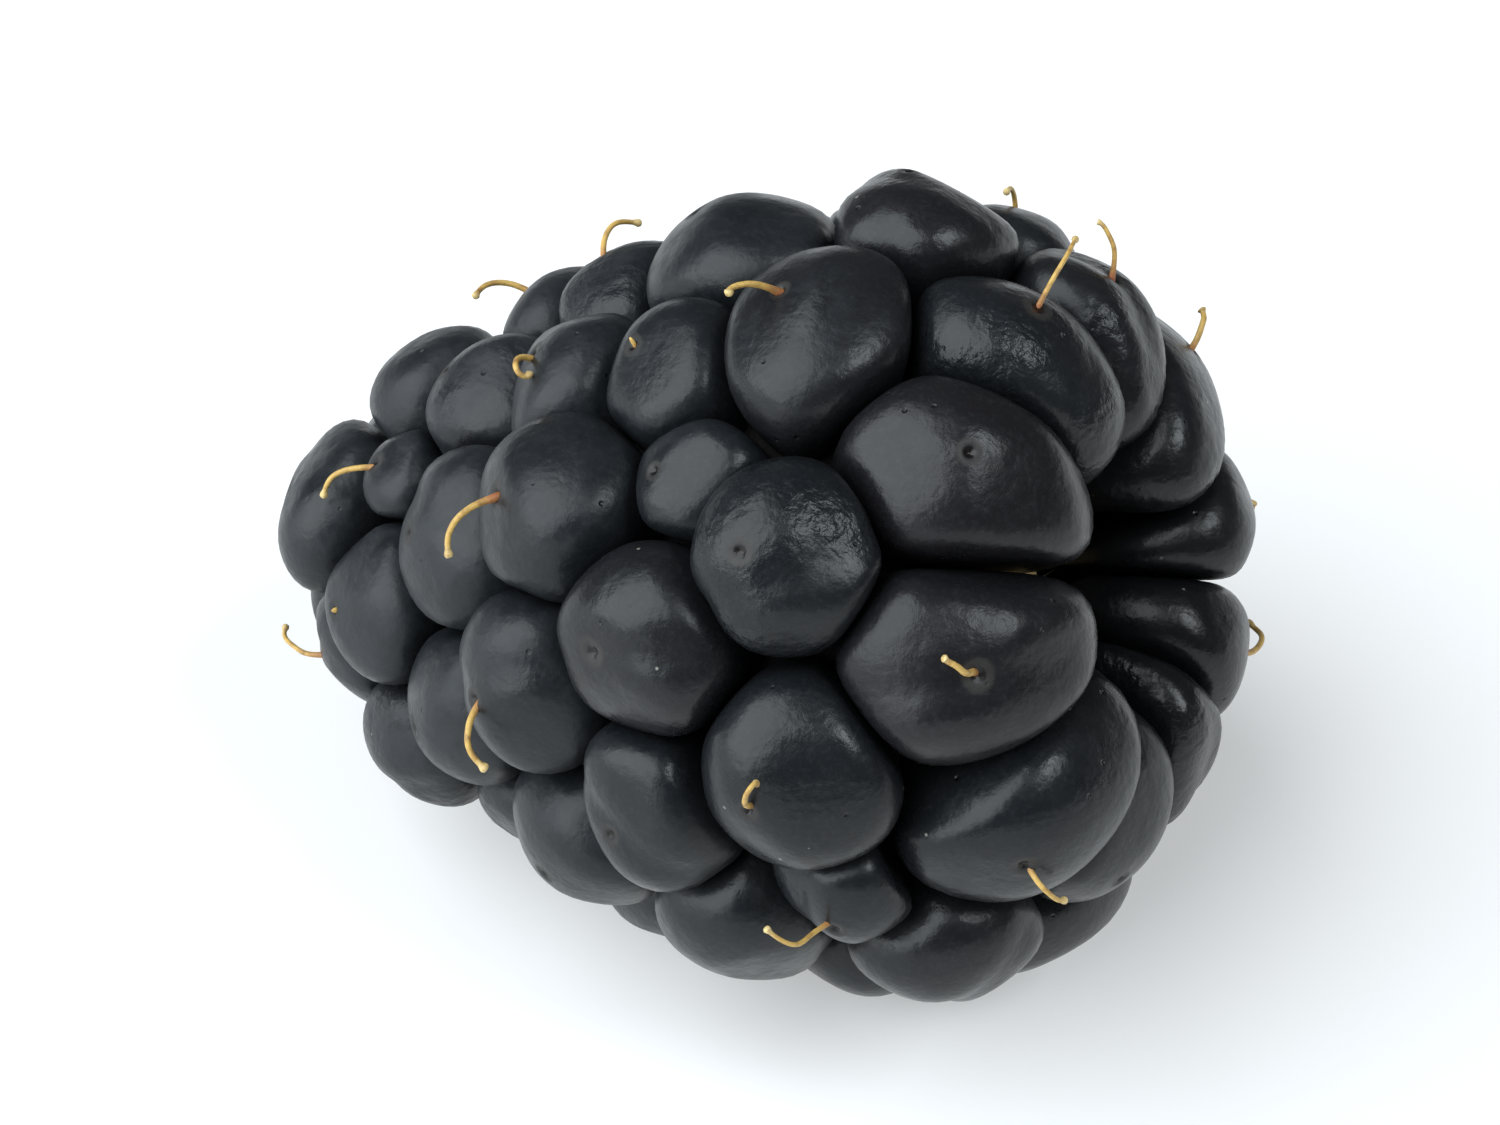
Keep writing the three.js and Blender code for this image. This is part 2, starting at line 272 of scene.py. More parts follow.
class Drupelet:
    def __init__(self, row, width, at, lift, stretch):
        self.row, self.width = row, width
        self.out, self.along, self.around = envelope_directions(at)
        self.middle = np.array(at) + self.out * lift
        self.out_length = EGG_OUT * width
        self.root_length = STEM_ROW_ROOT if row == 0 else EGG_OUT * width
        self.along_length = (EGG_STEM_ROW_SIDE if row == 0 else EGG_SIDE) * width * (1 + stretch)
        self.around_length = EGG_SIDE * width * (1 - stretch)
        self.normals, self.distances = [], []

    def egg(self, directions):
        d = np.atleast_2d(directions)
        out = d @ self.out
        out = out / np.where(out > 0, self.out_length, self.root_length)
        along, around = d @ self.along / self.along_length, d @ self.around / self.around_length
        return 1 / np.sqrt(out**2 + along**2 + around**2)

    def press(self, normal, distance):
        self.normals.append(normal)
        self.distances.append(distance)

    def pressed(self, directions):
        """How strongly its faces press it back, against the egg's own share."""
        towards = np.clip(np.atleast_2d(directions) @ np.array(self.normals).T, 0, None)
        return ((towards / np.array(self.distances)) ** SOFTNESS).sum(1)

    def skin(self, directions):
        return (self.egg(directions) ** -SOFTNESS + self.pressed(directions)) ** (-1 / SOFTNESS)


def make_drupelets():
    draw = random_sequence(SEED)
    places = rows_of_drupelets(draw)
    settle(places)
    swell(places)
    drupelets = []
    for row, width, at in places:
        lift = LIFT_SPREAD * (2 * draw() - 1)
        stretch = STRETCH_SPREAD * (2 * draw() - 1)
        drupelets.append(Drupelet(row, width, at, lift, stretch))
    for one in drupelets:
        for other in drupelets:
            apart = np.linalg.norm(one.middle - other.middle)
            if other is one or apart > one.width + other.width:
                continue
            normal = unit(other.middle - one.middle)
            mine, theirs = one.egg(normal)[0], other.egg(-normal)[0]
            if apart < mine + theirs:
                one.press(normal, (apart + (mine**2 - theirs**2) / apart) / 2)
    for one in drupelets:
        tilt, turn = math.radians(lerp(*DENT_TILT, draw())), TURN * draw()
        normal = one.out * math.cos(tilt)
        normal = normal + one.along * math.sin(tilt) * math.cos(turn)
        normal = normal + one.around * math.sin(tilt) * math.sin(turn)
        one.press(normal, DENT_AT * one.egg(normal)[0])
    return drupelets, draw


def is_buried(drupelets, point, gap):
    for one in drupelets:
        away = point - one.middle
        apart = np.linalg.norm(away)
        if apart < one.width and apart < one.skin(away / apart)[0] + gap:
            return True
    return False


def make_styles(drupelets, draw):
    """The kept styles' routes, and where on each drupelet its style stood."""
    styles = []
    for one in drupelets:
        kept = draw() < STYLE_SHARE
        lean = math.radians(STYLE_LEAN * (0.5 + draw()))
        splay = math.radians(STYLE_SPLAY * (2 * draw() - 1))
        length = lerp(STYLE_SHORTEST, STYLE_LONGEST, draw())
        droop = draw()
        top = unit(one.out * math.cos(lean) - one.along * math.sin(lean))
        start = one.middle + top * one.skin(top)[0]
        one.top, one.has_style = top, False
        heading = -one.along * math.cos(splay) + one.around * math.sin(splay)
        if not kept or in_place(start)[2] < STYLE_FLOOR_GAP:
            continue
        bend = start + top * 0.45 * length + heading * 0.3 * length
        end = start + heading * (0.6 + 0.3 * droop) * length + top * (0.45 - 0.5 * droop) * length
        for point in (bend, end):
            away = unit(point) * 0.1
            while is_buried(drupelets, point, 2 * STYLE_RADIUS):
                point += away
        if in_place(end)[2] < STYLE_END_GAP:
            continue
        one.has_style = True
        styles.append((start - top * STYLE_ROOT, bend, end))
    return styles


TIPPED = Matrix.Rotation(-math.radians(TIP_DOWN), 3, "Y")
ROLLED = Matrix.Rotation(math.radians(ROLL), 3, "X")
LYING = np.array(TIPPED @ ROLLED)


def in_place(points):
    return np.asarray(points) @ LYING.T + [SHIFT_X, SHIFT_Y, REST_HEIGHT]


def make_piece(name, points, faces, material, attributes=None):
    """A smooth mesh object from the berry's own points, pressed flat where it meets the floor."""
    laid = in_place(points)
    laid[:, 2] = np.maximum(laid[:, 2], 0)
    mesh = bpy.data.meshes.new(name)
    mesh.from_pydata((laid * MM).tolist(), [], faces)
    mesh.polygons.foreach_set("use_smooth", [True] * len(mesh.polygons))
    for key, values in (attributes or {}).items():
        attribute = mesh.attributes.new(key, "FLOAT", "POINT")
        attribute.data.foreach_set("value", np.asarray(values, np.float32))
    mesh.materials.append(material)
    mesh.update()
    piece = bpy.data.objects.new(name, mesh)
    bpy.context.scene.collection.objects.link(piece)
    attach(piece, "root")
    return piece


def grid_faces(rows, columns, first):
    """Quads between rings that close on themselves."""
    faces = []
    for i in range(rows - 1):
        for j in range(columns):
            k = (j + 1) % columns
            a, b = first + i * columns, first + (i + 1) * columns
            faces.append((a + j, b + j, b + k, a + k))
    return faces


def ball_faces(rings, sectors, first):
    """A ball's faces: a point, its rings, and a point."""
    faces = [(first, first + 1 + j, first + 1 + (j + 1) % sectors) for j in range(sectors)]
    faces += grid_faces(rings, sectors, first + 1)
    last = first + 1 + rings * sectors
    low = last - sectors
    return faces + [(last, low + (j + 1) % sectors, low + j) for j in range(sectors)]


# Materials

# The Mix node's sockets for colours, which share their names with those for other data.
MIX_A, MIX_B, MIX_RESULT = 6, 7, 2


class Nodes:
    """A material's node tree, made by short calls. Sizes are in millimetres."""

    def __init__(self, name):
        self.material = bpy.data.materials.new(name)
        self.material.use_nodes = True
        self.tree = self.material.node_tree
        self.tree.nodes.clear()
        output = self.add("ShaderNodeOutputMaterial")
        self.shader = self.add("ShaderNodeBsdfPrincipled")
        self.link(self.shader.outputs[0], output.inputs[0])
        self.place = self.add("ShaderNodeTexCoord").outputs["Object"]

    def add(self, kind, **settings):
        node = self.tree.nodes.new(kind)
        for key, value in settings.items():
            setattr(node, key, value)
        return node

    def link(self, source, target):
        self.tree.links.new(source, target)

    def put(self, value, target):
        if isinstance(value, bpy.types.NodeSocket):
            self.link(value, target)
        else:
            target.default_value = value

    def noise(self, size, detail, roughness=0.5):
        node = self.add("ShaderNodeTexNoise")
        self.link(self.place, node.inputs["Vector"])
        node.inputs["Scale"].default_value = 1000 / size
        node.inputs["Detail"].default_value = detail
        node.inputs["Roughness"].default_value = roughness
        return node.outputs[0]

    def voronoi(self, size, output="Distance"):
        node = self.add("ShaderNodeTexVoronoi")
        self.link(self.place, node.inputs["Vector"])
        node.inputs["Scale"].default_value = 1000 / size
        return node.outputs[output]

    def dots(self, spacing, radius, core, rare):
        """Scattered dots. Radius and core are shares of their spacing, and rare is the share of
        places without one."""
        spread = self.range(self.voronoi(spacing), radius, core)
        parts = self.add("ShaderNodeSeparateColor")
        self.link(self.voronoi(spacing, "Color"), parts.inputs[0])
        return self.math("MULTIPLY", spread, self.range(parts.outputs[0], rare, rare + 0.02))

    def value(self, name):
        return self.add("ShaderNodeAttribute", attribute_name=name).outputs["Fac"]

    def range(self, source, low, high, to_low=0.0, to_high=1.0, smooth=False):
        kind = "SMOOTHSTEP" if smooth else "LINEAR"
        node = self.add("ShaderNodeMapRange", interpolation_type=kind)
        self.put(source, node.inputs["Value"])
        ends = {"From Min": low, "From Max": high, "To Min": to_low, "To Max": to_high}
        for key, number in ends.items():
            self.put(number, node.inputs[key])
        return node.outputs[0]

    def math(self, operation, a, b, clamp=False):
        node = self.add("ShaderNodeMath", operation=operation, use_clamp=clamp)
        self.put(a, node.inputs[0])
        self.put(b, node.inputs[1])
        return node.outputs[0]

    def times(self, a, b, clamp=False):
        return self.math("MULTIPLY", a, b, clamp)

    def plus(self, a, b):
        return self.math("ADD", a, b)

    def mix(self, share, a, b):
        node = self.add("ShaderNodeMix", data_type="RGBA")
        self.put(share, node.inputs[0])
        for colour, socket in ((a, node.inputs[MIX_A]), (b, node.inputs[MIX_B])):
            self.put((*colour, 1) if isinstance(colour, tuple) else colour, socket)
        return node.outputs[MIX_RESULT]

    def bump(self, height, distance, normal=None):
        node = self.add("ShaderNodeBump")
        self.link(height, node.inputs["Height"])
        node.inputs["Distance"].default_value = distance / 1000
        node.inputs["Strength"].default_value = 1.0
        if normal:
            self.link(normal, node.inputs["Normal"])
        return node.outputs[0]

    def finish(self, **inputs):
        """Sets the shader's sockets, named with _ for each space, and returns the material."""
        for key, value in inputs.items():
            socket = self.shader.inputs[key.replace("_", " ")]
            self.put((*value, 1) if isinstance(value, tuple) else value, socket)
        return self.material


# The colours of the skin, the flesh, the styles, the receptacle and its hairs, with painted shade
# for the skin's creases and the receptacle's rim.
SKIN_BLUE, SKIN_WARM = (0.0072, 0.0083, 0.0099), (0.0086, 0.008, 0.0096)
# The third colour on the next line is painted shade, laid into the skin's creases and inward sides.
BLOOM, GRAIN, CREASE_SHADE = (0.0235, 0.0272, 0.0312), (0.03, 0.033, 0.036), (0.005, 0.0052, 0.006)
SCAR_RIM, SCAR = (0.045, 0.04, 0.034), (0.006, 0.0045, 0.004)
SPECK, PORE = (0.3, 0.3, 0.26), (0.003, 0.0028, 0.003)
FLESH, FLESH_RED, FLESH_PALE = (0.002, 0.0018, 0.002), (0.006, 0.004, 0.0045), (0.07, 0.043, 0.02)
STYLE_RUST, STYLE_GOLD = (0.3, 0.085, 0.035), (0.56, 0.36, 0.095)
STYLE_PALE, STYLE_BROWN = (0.66, 0.5, 0.22), (0.27, 0.14, 0.04)
TISSUE, TISSUE_LIGHT, FIBRE = (0.42, 0.27, 0.09), (0.52, 0.39, 0.17), (0.6, 0.54, 0.38)
# The second colour on the next line is painted shade for the receptacle's rim in the hollow.
TISSUE_PORE, TISSUE_RIM_SHADE = (0.16, 0.085, 0.03), (0.055, 0.03, 0.014)
HAIR_LIGHT, HAIR_STRAW = (0.62, 0.56, 0.42), (0.5, 0.4, 0.22)


def skin_material():
    """Blue-black skin, waxy and matt towards the tip and glossier towards the stem end, with a fine
    grain, wrinkled patches, a few pale specks and dark pores, and the pit that each style left. Its
    creases and inward sides are darkened as painted shade."""
    n = Nodes("berry_skin")
    scar, crease_shade = n.value("scar"), n.value("crease_shade")
    patches = n.noise(1.7, 3, 0.6)
    rubbed = n.range(n.noise(0.95, 4, 0.65), 0.44, 0.6)
    grain = n.noise(0.17, 3, 0.6)
    bloom = n.times(n.range(patches, 0.34, 0.68, 0.3, 1.0), n.value("wax"), clamp=True)
    bloom = n.times(bloom, n.plus(n.times(rubbed, 0.5), 0.6), clamp=True)
    rim = n.range(scar, 0.5, 0.34, smooth=True)
    rim = n.times(rim, n.range(scar, 0.17, 0.25, smooth=True))
    speck = n.dots(0.85, 0.075, 0.045, 0.9)
    pore = n.dots(0.7, 0.13, 0.05, 0.86)

    colour = n.mix(n.value("warm"), SKIN_BLUE, SKIN_WARM)
    colour = n.mix(n.times(bloom, 0.7), colour, BLOOM)
    colour = n.mix(n.times(n.range(grain, 0.5, 0.75), 0.25), colour, GRAIN)
    # Painted shade: darker in the creases between drupelets, on their inward sides and on the stem
    # row's inner sides.
    colour = n.mix(n.times(crease_shade, 0.85), colour, CREASE_SHADE)
    colour = n.mix(n.times(rim, 0.35), colour, SCAR_RIM)
    colour = n.mix(n.range(scar, 0.22, 0.14, smooth=True), colour, SCAR)
    colour = n.mix(n.times(speck, 0.6), colour, SPECK)
    colour = n.mix(n.times(pore, 0.7), colour, PORE)

    roughness = n.plus(n.range(patches, 0.3, 0.7, 0.24, 0.33), n.times(bloom, 0.2))
    roughness = n.plus(roughness, n.times(rubbed, 0.05))
    roughness = n.plus(roughness, n.times(rim, 0.2))

    wrinkles = n.times(n.value("wrinkled"), n.range(n.noise(2.2, 1), 0.42, 0.58))
    normal = n.bump(n.noise(0.9, 2), 0.05)
    normal = n.bump(n.noise(0.33, 3, 0.6), 0.013, normal)
    normal = n.bump(n.times(n.noise(0.42, 3, 0.55), wrinkles), 0.09, normal)
    normal = n.bump(n.math("SUBTRACT", grain, n.times(pore, 3.0)), 0.011, normal)
    return n.finish(
        Base_Color=colour, Roughness=roughness, Normal=normal, Specular_IOR_Level=0.31
    )


def flesh_material():
    """The dark flesh deep in the creases, with paler streaks in the hollow of the stem end."""
    n = Nodes("berry_flesh")
    colour = n.mix(n.range(n.noise(0.7, 3), 0.3, 0.7), FLESH, FLESH_RED)
    streaks = n.range(n.noise(0.35, 4, 0.6), 0.4, 0.65)
    colour = n.mix(n.times(n.range(n.value("pale"), 0, 1), streaks), colour, FLESH_PALE)
    normal = n.bump(n.noise(0.3, 3), 0.06)
    return n.finish(Base_Color=colour, Roughness=0.6, Specular_IOR_Level=0.1, Normal=normal)


def style_material():
    """Dry threads: rusty at the root, straw gold along them, paler at the end."""
    n = Nodes("dry_style")
    along = n.value("along")
    colour = n.mix(n.range(along, 0.03, 0.3, smooth=True), STYLE_RUST, STYLE_GOLD)
    colour = n.mix(n.range(along, 0.8, 1.0, smooth=True), colour, STYLE_PALE)
    colour = n.mix(n.range(n.noise(0.3, 3), 0.45, 0.72), colour, STYLE_BROWN)
    return n.finish(Base_Color=colour, Roughness=0.5, Normal=n.bump(n.noise(0.09, 2), 0.02))


def receptacle_material():
    """Torn pale tissue: straw brown with darker pores and whitish fibres, and the outer rim of its
    end darkened as painted shade, down in the hollow.
    """
    n = Nodes("receptacle_tissue")
    fibres = n.noise(0.22, 4, 0.65)
    colour = n.mix(n.range(n.noise(0.9, 3), 0.35, 0.65), TISSUE, TISSUE_LIGHT)
    colour = n.mix(n.range(fibres, 0.5, 0.72), colour, FIBRE)
    colour = n.mix(n.range(n.voronoi(0.5), 0.2, 0.06), colour, TISSUE_PORE)
    # Painted shade: the outer rim of the torn end darkens, where it lies in the hollow.
    colour = n.mix(n.value("rim"), colour, TISSUE_RIM_SHADE)
    return n.finish(Base_Color=colour, Roughness=0.78, Normal=n.bump(fibres, 0.12))


def hair_material():
    n = Nodes("pale_hairs")
    colour = n.mix(n.range(n.noise(0.6, 2), 0.3, 0.7), HAIR_LIGHT, HAIR_STRAW)
    return n.finish(Base_Color=colour, Roughness=0.7)


# Pieces


def skin_directions(one):
    """Directions from a drupelet's middle, in rings round the root of its style."""
    turns = TURN * np.arange(SKIN_SECTORS) / SKIN_SECTORS
    aside = unit(np.cross(one.top, one.around))
    across = np.cross(one.top, aside)
    side = np.cos(turns)[:, None] * aside + np.sin(turns)[:, None] * across
    rings = [one.top * math.cos(angle) + side * math.sin(angle) for angle in np.radians(SKIN_RINGS)]
    return np.concatenate([one.top[None], *rings, -one.top[None]])


def skin_form(one, d, random):
    """How far the skin reaches in each direction, and each point's distance from the style's pit.
    The skin has small flats with soft edges, here and there a shallow waist, and low lumps."""
    skin = one.skin(d)
    away = np.arccos(np.clip(d @ one.top, -1, 1)) * skin
    outward = smoothstep(d @ one.out, -0.1, 0.5)
    for _ in range(FLATS):
        normal = unit(one.out + random.normal(size=3) * FLAT_SPREAD)
        reach = one.skin(normal)[0] * random.uniform(*FLAT_REACH)
        pressed = (np.clip(d @ normal, 1e-6, None) / reach) ** FLAT_SOFTNESS
        skin = (skin**-FLAT_SOFTNESS + pressed) ** (-1 / FLAT_SOFTNESS)
    if random.random() < WAIST_SHARE:
        waist = unit(one.around + 0.5 * random.normal(size=3))
        offset = random.uniform(-0.35, 0.35)
        belt = np.exp(-(((d @ waist - offset) / WAIST_WIDTH) ** 2))
        skin = skin * (1 - WAIST_DEPTH * outward * belt)
    lumps = np.zeros(len(d))
    for _ in range(LUMPS):
        wave = unit(random.normal(size=3)) * random.uniform(2, 6)
        lumps += random.uniform(0.1, 0.34) * np.sin(d @ wave + random.uniform(0, TURN))
    skin = skin * (1 + LUMP_HEIGHT * lumps)
    size = random.uniform(0.75, 1.2)
    depth = random.uniform(0.5, 1.1)
    from_pit = away / size
    skin -= depth * PIT_DEPTH * np.exp(-((from_pit / PIT_RADIUS) ** 2))
    skin -= random.uniform(0, DIMPLE_DEPTH) * np.exp(-((away / DIMPLE_RADIUS) ** 2))
    skin += RIM_HEIGHT * np.exp(-(((from_pit - RIM_RADIUS) / RIM_WIDTH) ** 2))
    return skin, from_pit


def skin_values(one, d, from_pit, random):
    """What the skin's material reads at each point, with the mask of painted shade for its creases
    and inward sides.
    """
    press = one.pressed(d)
    share = press / (press + one.egg(d) ** -SOFTNESS)
    # The mask of painted shade: the inward side, the pressed faces low down, and on the stem row
    # the inner side towards the hollow.
    inward = 1 - smoothstep(d @ one.out, -0.35, 0.4)
    low = 1 - smoothstep(d @ one.out, 0.25, 0.75)
    crease_shade = np.maximum(inward, smoothstep(share, 0.75, 1) * low)
    if one.row == 0:
        inner_side_shade = smoothstep(d @ unit(one.along - 0.8 * one.out), 0.2, 0.8)
        crease_shade = np.maximum(crease_shade, inner_side_shade)
    to_tip = smoothstep(-one.middle[0], -7, 9)
    wax = np.clip(to_tip + random.uniform(-0.25, 0.25), 0, 1)
    warm = max(0, random.uniform(-3, 1)) ** 1.5
    wrinkled = random.uniform(0.4, 1) * (random.random() < 0.2)
    every = np.ones(len(d))
    return {
        "wax": wax * every,
        "warm": warm * every,
        "scar": from_pit,
        "crease_shade": crease_shade,
        "wrinkled": wrinkled * every,
    }


def make_skins(drupelets):
    random = np.random.default_rng(7)
    points, faces, values = [], [], []
    first = 0
    for one in drupelets:
        d = skin_directions(one)
        skin, from_pit = skin_form(one, d, random)
        points.append(one.middle + d * skin[:, None])
        faces += ball_faces(len(SKIN_RINGS), SKIN_SECTORS, first)
        values.append(skin_values(one, d, from_pit, random))
        first += len(d)
    points = np.concatenate(points)
    values = {key: np.concatenate([each[key] for each in values]) for key in values[0]}
    return make_piece("drupelet_skins", points, faces, skin_material(), values)


def make_flesh():
    """The envelope drawn in a little, as far as the slanted stem row, then the hollow and a short
    way down its wall."""
    random = np.random.default_rng(3)
    wall = RECEPTACLE[5][1] + SOCKET_GAP
    hollow = [(STEM_HOLLOW, wall + out) for out in (0.7, 0.55, 0.35, 0.15, 0.02)]
    hollow += [(STEM_HOLLOW - 0.6, wall), (STEM_HOLLOW - 1.2, wall - 0.02)]
    columns = []
    for around in TURN * np.arange(FLESH_SIDES) / FLESH_SIDES:
        last = math.radians(STEM_ROW_ANGLE) + math.radians(STEM_ROW_SLANT) * math.cos(around)
        column = []
        for k in range(1, FLESH_STEPS + 1):
            angle = last * k / FLESH_STEPS
            radius = envelope_radius(angle) - FLESH_SINK - EXTRA_SINK
            column.append((-radius * math.cos(angle), radius * math.sin(angle)))
        rim = column[-1]
        for k in range(1, LIP_STEPS):
            t = k / LIP_STEPS
            column.append((lerp(rim[0], hollow[0][0], t), lerp(rim[1], hollow[0][1], t)))
        column = np.array(column + hollow)
        column += random.normal(size=column.shape) * FLESH_ROUGHNESS
        x, out = column.T
        columns.append(np.stack([x, out * math.cos(around), out * math.sin(around)], 1))
    rings = np.stack(columns, 1)
    tip = [-(envelope_radius(0) - FLESH_SINK - EXTRA_SINK), 0, 0]
    points = np.concatenate([[tip], rings.reshape(-1, 3), [[STEM_HOLLOW - 1.3, 0, 0]]])
    faces = ball_faces(len(rings), FLESH_SIDES, 0)
    near_axis = smoothstep(-np.hypot(points[:, 1], points[:, 2]), -3.7, -3.1)
    pale = near_axis * (points[:, 0] > STEM_HOLLOW - 1.4)
    return make_piece("inner_flesh", points, faces, flesh_material(), {"pale": pale})


def refine(outline, steps):
    """Rounds an outline by a smooth curve through its points."""
    p = np.array(outline, float)
    p = np.concatenate([[2 * p[0] - p[1]], p, [2 * p[-1] - p[-2]]])
    made = []
    for k in range(1, len(p) - 2):
        a, b, c, d = p[k - 1 : k + 3]
        for t in np.arange(steps) / steps:
            bend = (2 * a - 5 * b + 4 * c - d) * t**2
            twist = (3 * b - a - 3 * c + d) * t**3
            made.append(0.5 * (2 * b + (c - a) * t + bend + twist))
    made.append(p[-2])
    made = np.array(made)
    made[:, 1] = np.maximum(made[:, 1], 0)
    return made


def turned(outline, sides):
    """A closed surface of revolution about the axis."""
    turns = TURN * np.arange(sides) / sides
    points = [np.array([[outline[0][0], 0, 0]])]
    for x, radius in outline[1:-1]:
        ring = [np.full(sides, x), radius * np.cos(turns), radius * np.sin(turns)]
        points.append(np.stack(ring, 1))
    points.append(np.array([[outline[-1][0], 0, 0]]))
    return np.concatenate(points), ball_faces(len(outline) - 2, sides, 0)


def make_receptacle():
    """The pale core, with a torn end that is ridged and a little hollow."""
    random = np.random.default_rng(5)
    outline = [tuple(q) for q in refine(RECEPTACLE[:6], CORE_STEPS)]
    outline += [(7.3, 2.75), (7.48, 2.55), (7.5, 2.35), (7.38, 2.1), (7.28, 1.85), (7.22, 1.6)]
    outline += [(7.2, 1.35), (7.22, 1.05), (7.3, 0.8), (7.4, 0.5), (7.44, 0.25), (7.45, 0)]
    points, faces = turned(outline, CORE_SIDES)
    radius = np.hypot(points[:, 1], points[:, 2])
    turn = np.arctan2(points[:, 2], points[:, 1])
    end = smoothstep(points[:, 0], 6.7, 7.25)
    ridges = 0
    for k in END_RIDGES:
        height = random.uniform(0.3, 1)
        ridges = ridges + height * np.sin(k * turn + random.uniform(0, TURN) + 1.4 * radius)
    ridges = end * smoothstep(radius, 0.3, 1.2) * 0.05 * ridges
    points[:, 0] += ridges + end * 0.03 * random.normal(size=len(points))
    swell_out = 1 + 0.012 * np.sin(6 * turn + 1.0) + 0.008 * np.sin(13 * turn)
    points[:, 1:] *= swell_out[:, None]
    # The outer rim of the end is marked for painted shade.
    values = {"rim": end * smoothstep(radius, 2.3, 2.75)}
    return make_piece(
        "receptacle_core", points, faces, receptacle_material(), values
    )


class Threads:
    """Round threads, closed at both ends, gathered for one mesh."""

    def __init__(self):
        self.points, self.faces, self.count = [], [], 0

    def add(self, route, radii, sides):
        route = np.asarray(route)
        ahead = unit(np.gradient(route, axis=0))
        side = unit(np.cross(ahead[0], [0.3, 0.7, 0.64]))
        turns = TURN * np.arange(sides) / sides
        c, s = np.cos(turns)[:, None], np.sin(turns)[:, None]
        rings = []
        for at, direction, radius in zip(route, ahead, radii):
            side = unit(side - direction * (side @ direction))
            rings.append(at + radius * (c * side + s * np.cross(direction, side)))
        made = np.concatenate([route[:1], *rings, route[-1:]])
        self.points.append(made)
        self.faces += ball_faces(len(route), sides, self.count)
        self.count += len(made)


def bezier(a, b, c, t):
    t = np.asarray(t)[:, None]
    return a * (1 - t) ** 2 + b * 2 * t * (1 - t) + c * t**2


def curled(path, turn, random):
    """The thread with its last part bent round by an angle, as it dries."""
    first = len(path) // 2
    steps = np.diff(path, axis=0)
    axis = unit(np.cross(steps[first], unit(path[first])) + 0.15 * random.normal(size=3))
    bent = path.copy()
    for k in range(first, len(path) - 1):
        share = turn * ((k - first + 1) / (len(path) - first)) ** 1.3
        step = Matrix.Rotation(-share, 3, Vector(axis)) @ Vector(steps[k])
        bent[k + 1] = bent[k] + np.array(step) * 0.85
    return bent


def make_style_piece(drupelets, styles):
    random = np.random.default_rng(9)
    threads, along = Threads(), []
    t = np.concatenate([np.linspace(0, 0.9, 22), [0.925, 0.945, 0.96, 0.975, 0.99, 1.0]])
    knob = np.interp(t, [0, 0.91, 0.94, 0.97, 0.985, 1], [0, 0, 0.5, 1, 0.8, 0.3])
    foot = np.exp(-((t / 0.1) ** 2))
    for route in styles:
        path = bezier(*route, t)
        bow = (t * (1 - t) * 4)[:, None]
        wave = unit(random.normal(size=3)) * random.uniform(0.03, 0.1)
        path += np.sin(t * random.uniform(4, 9) + random.uniform(0, TURN))[:, None] * wave * bow
        if random.random() < CURLED_SHARE:
            path = curled(path, random.uniform(2, 4.2), random)
        size = random.uniform(0.75, 1.1)
        radii = 0.1 - 0.022 * t + 0.05 * foot + 0.06 * knob * random.uniform(0.6, 1.2)
        threads.add(path, size * radii, STYLE_SIDES)
        along.append(np.concatenate([[0], np.repeat(t, STYLE_SIDES), [1]]))
    s = np.linspace(0, 1, len(STUB_TAPER))
    for one in drupelets:
        if one.has_style or random.random() > STUB_SHARE:
            continue
        start = one.middle + one.top * (one.skin(one.top)[0] - 0.28)
        end = start + one.top * random.uniform(0.25, 0.5) + unit(random.normal(size=3)) * 0.12
        path = start + (end - start) * s[:, None]
        threads.add(path, random.uniform(0.06, 0.1) * STUB_TAPER, STUB_SIDES)
        along.append(np.concatenate([[0.1], np.repeat(0.1 + 0.3 * s, STUB_SIDES), [0.4]]))
    points, values = np.concatenate(threads.points), {"along": np.concatenate(along)}
    return make_piece("dry_styles", points, threads.faces, style_material(), values)


def make_hairs():
    """Fine pale hairs round the rim of the receptacle."""
    random = np.random.default_rng(12)
    threads = Threads()
    s = np.linspace(0, 1, 6)[:, None]
    for _ in range(HAIRS):
        turn, radius = random.uniform(0, TURN), random.uniform(2.6, 3.5)
        outward = np.array([0, math.cos(turn), math.sin(turn)])
        start = outward * radius + [STEM_HOLLOW - 0.1 if radius > 3.05 else 7.15, 0, 0]
        lean = [random.uniform(0.2, 1), 0, 0] + outward * random.uniform(-0.6, 0.8)
        lean = unit(lean + random.normal(size=3) * 0.45)
        length = random.uniform(0.3, 0.9)
        curl = random.normal(size=3) * 0.4 * length
        path = start + lean * length * s + curl * s**2
        threads.add(path, HAIR_RADIUS * (1 - 0.7 * s[:, 0]), HAIR_SIDES)
    points = np.concatenate(threads.points)
    return make_piece("receptacle_hairs", points, threads.faces, hair_material())


drupelets, draw = make_drupelets()
styles = make_styles(drupelets, draw)
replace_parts(make_skins(drupelets), "drupelets")
make_flesh()
make_style_piece(drupelets, styles)
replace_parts(make_receptacle(), "receptacle")
make_hairs()

# Floor, light and camera, in metres

AZIMUTH, ELEVATION = 24, 42
TARGET = Vector((0.0003, 0, 0.0115))
CAMERA_DISTANCE = 0.091
LENS = 70
FLOOR_HALF = 2.0
FLOOR_GREY = (0.66, 0.66, 0.66)
FLOOR_GLOW = 0.27
LIGHT_COLOUR = (0.94, 1.01, 1.05)
WORLD_COLOUR = (0.96, 0.98, 1.0, 1)
WORLD_STRENGTH = 0.1


def from_angles(azimuth, elevation):
    a, e = math.radians(azimuth), math.radians(elevation)
    return Vector((math.sin(a) * math.cos(e), -math.cos(a) * math.cos(e), math.sin(e)))


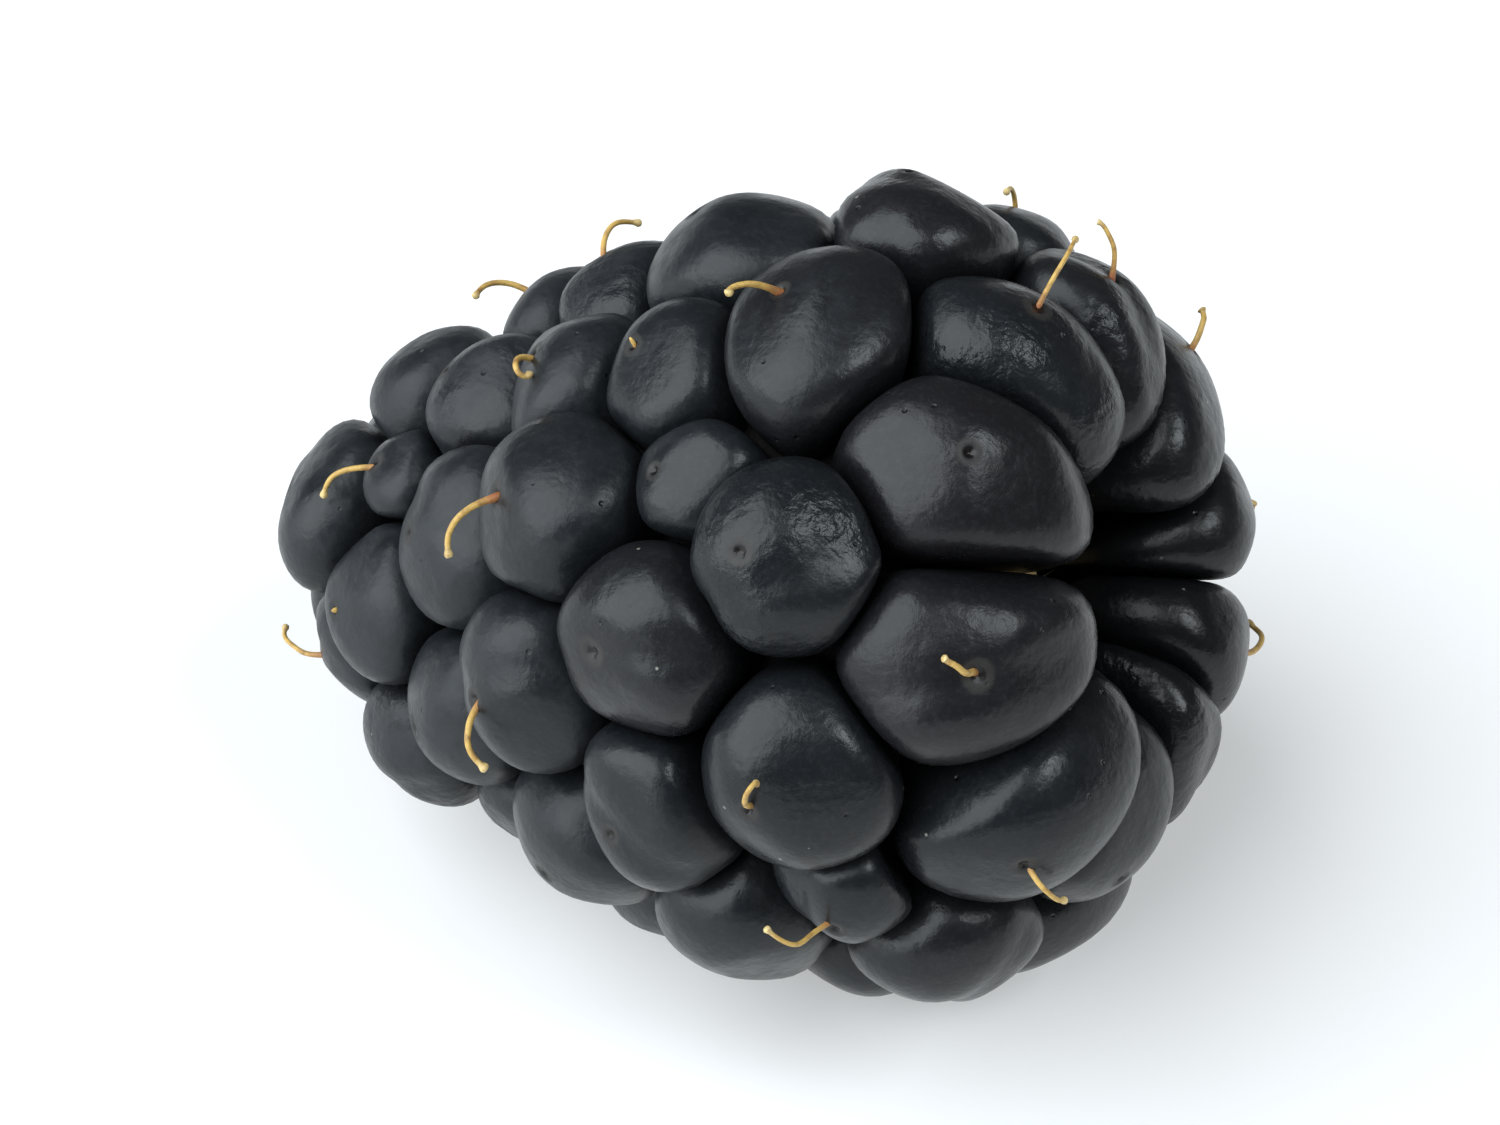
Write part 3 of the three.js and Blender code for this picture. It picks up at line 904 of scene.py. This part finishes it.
def aim(thing, back, distance):
    """Sets a light or the camera at a distance from the berry, so that it faces the berry."""
    thing.location = TARGET + back * distance
    thing.rotation_mode = "QUATERNION"
    thing.rotation_quaternion = (-back).to_track_quat("-Z", "Y")
    bpy.context.scene.collection.objects.link(thing)


def make_floor():
    """A plain pale floor. It glows a little, so that it shows as white as the photo's ground."""
    mesh = bpy.data.meshes.new("floor")
    r = FLOOR_HALF
    mesh.from_pydata([(-r, -r, 0), (r, -r, 0), (r, r, 0), (-r, r, 0)], [], [(0, 1, 2, 3)])
    material = Nodes("pale_floor").finish(
        Base_Color=FLOOR_GREY,
        Roughness=0.7,
        Emission_Color=(1, 1, 1),
        Emission_Strength=FLOOR_GLOW,
    )
    mesh.materials.append(material)
    floor = bpy.data.objects.new("floor", mesh)
    bpy.context.scene.collection.objects.link(floor)


def make_light(name, turn, elevation, distance, width, height, radiance):
    """A soft window that faces the berry. Its turn is taken from the camera's side."""
    data = bpy.data.lights.new(name, "AREA")
    data.shape, data.size, data.size_y = "RECTANGLE", width, height
    data.energy = radiance * 4 * width * height
    data.color = LIGHT_COLOUR
    aim(bpy.data.objects.new(name, data), from_angles(AZIMUTH + turn, elevation), distance)


def make_world():
    world = bpy.data.worlds.new("studio")
    world.use_nodes = True
    background = world.node_tree.nodes["Background"]
    background.inputs["Color"].default_value = WORLD_COLOUR
    background.inputs["Strength"].default_value = WORLD_STRENGTH
    bpy.context.scene.world = world


def make_camera():
    camera = bpy.data.objects.new("camera", bpy.data.cameras.new("camera"))
    camera.data.lens = LENS
    camera.data.sensor_width = 36
    camera.data.clip_start = 0.005
    aim(camera, from_angles(AZIMUTH, ELEVATION), CAMERA_DISTANCE)
    bpy.context.scene.camera = camera


make_floor()
make_light(
    "window_left", turn=-68, elevation=42, distance=1.0, width=1.28, height=1.6, radiance=3.05
)
make_light(
    "window_right", turn=60, elevation=52, distance=1.2, width=0.46, height=0.5, radiance=6.2
)
make_world()
make_camera()
bpy.context.scene.view_settings.view_transform = "Standard"
